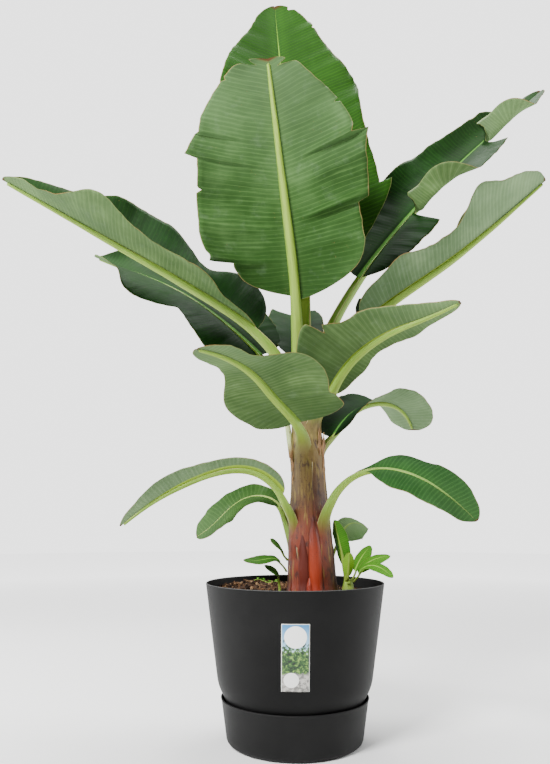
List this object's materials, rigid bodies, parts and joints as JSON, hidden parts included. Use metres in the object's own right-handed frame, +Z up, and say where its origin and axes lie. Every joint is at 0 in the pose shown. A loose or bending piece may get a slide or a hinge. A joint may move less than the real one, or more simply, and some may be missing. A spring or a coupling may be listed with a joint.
{
  "type": "potted banana plant",
  "caption": "Young banana plant with broad upright and arching leaves on a sheathed stem, small suckers at its foot, in a round dark planter standing in its saucer.",
  "frame": {"origin": "on the floor, at the middle of the saucer's flat underside", "axes": "+Z up along the planter's axis; -Y is the side with the label and the broad leaf that shows its underside; +X is to the right when looking at that side"},
  "size_m": [1.214, 0.6809, 1.761],
  "materials": {
    "planter": "matt, fine grain, slightly lighter turned rim",
    "saucer": "matt, fine grain",
    "label": "thin printed film, satin",
    "soil": "coarse crumbly potting soil",
    "sheath": "satin fibrous leaf sheaths, olive and tan above, red below",
    "stalk": "smooth, slightly waxy, yellow-green",
    "blade": "waxy, deep green above, paler and greyer below",
    "young_stem": "smooth, light green",
    "young_leaf": "waxy, light to mid green"
  },
  "bodies": {
    "root": {"pot": "planter", "saucer": "saucer", "label": "label", "soil": "soil", "pseudostem": "sheath", "sucker_stem": "young_stem", "stalk_front_upright": "stalk", "blade_front_upright": "blade", "stalk_back_upright": "stalk", "blade_back_upright": "blade", "stalk_left_long": "stalk", "blade_left_long": "blade", "stalk_left_back": "stalk", "blade_left_back": "blade", "stalk_right_high": "stalk", "blade_right_high": "blade", "stalk_right_mid": "stalk", "blade_right_mid": "blade", "stalk_right_front": "stalk", "blade_right_front": "blade", "stalk_left_front": "stalk", "blade_left_front": "blade", "stalk_right_twisted": "stalk", "blade_right_twisted": "blade", "stalk_right_low": "stalk", "blade_right_low": "blade", "stalk_left_low": "stalk", "blade_left_low": "blade", "stalk_left_lowest": "stalk", "blade_left_lowest": "blade", "stalk_back_arching": "stalk", "blade_back_arching": "blade", "stalk_back_drooping": "stalk", "blade_back_drooping": "blade", "sucker_back": "young_leaf", "sucker_rolled": "young_leaf", "sucker_spear": "young_leaf", "sucker_upper": "young_leaf", "sucker_middle": "young_leaf", "sucker_over_rim": "young_leaf", "offset_upper": "young_leaf", "offset_side": "young_leaf", "offset_low": "young_leaf"}
  },
  "joints": []
}
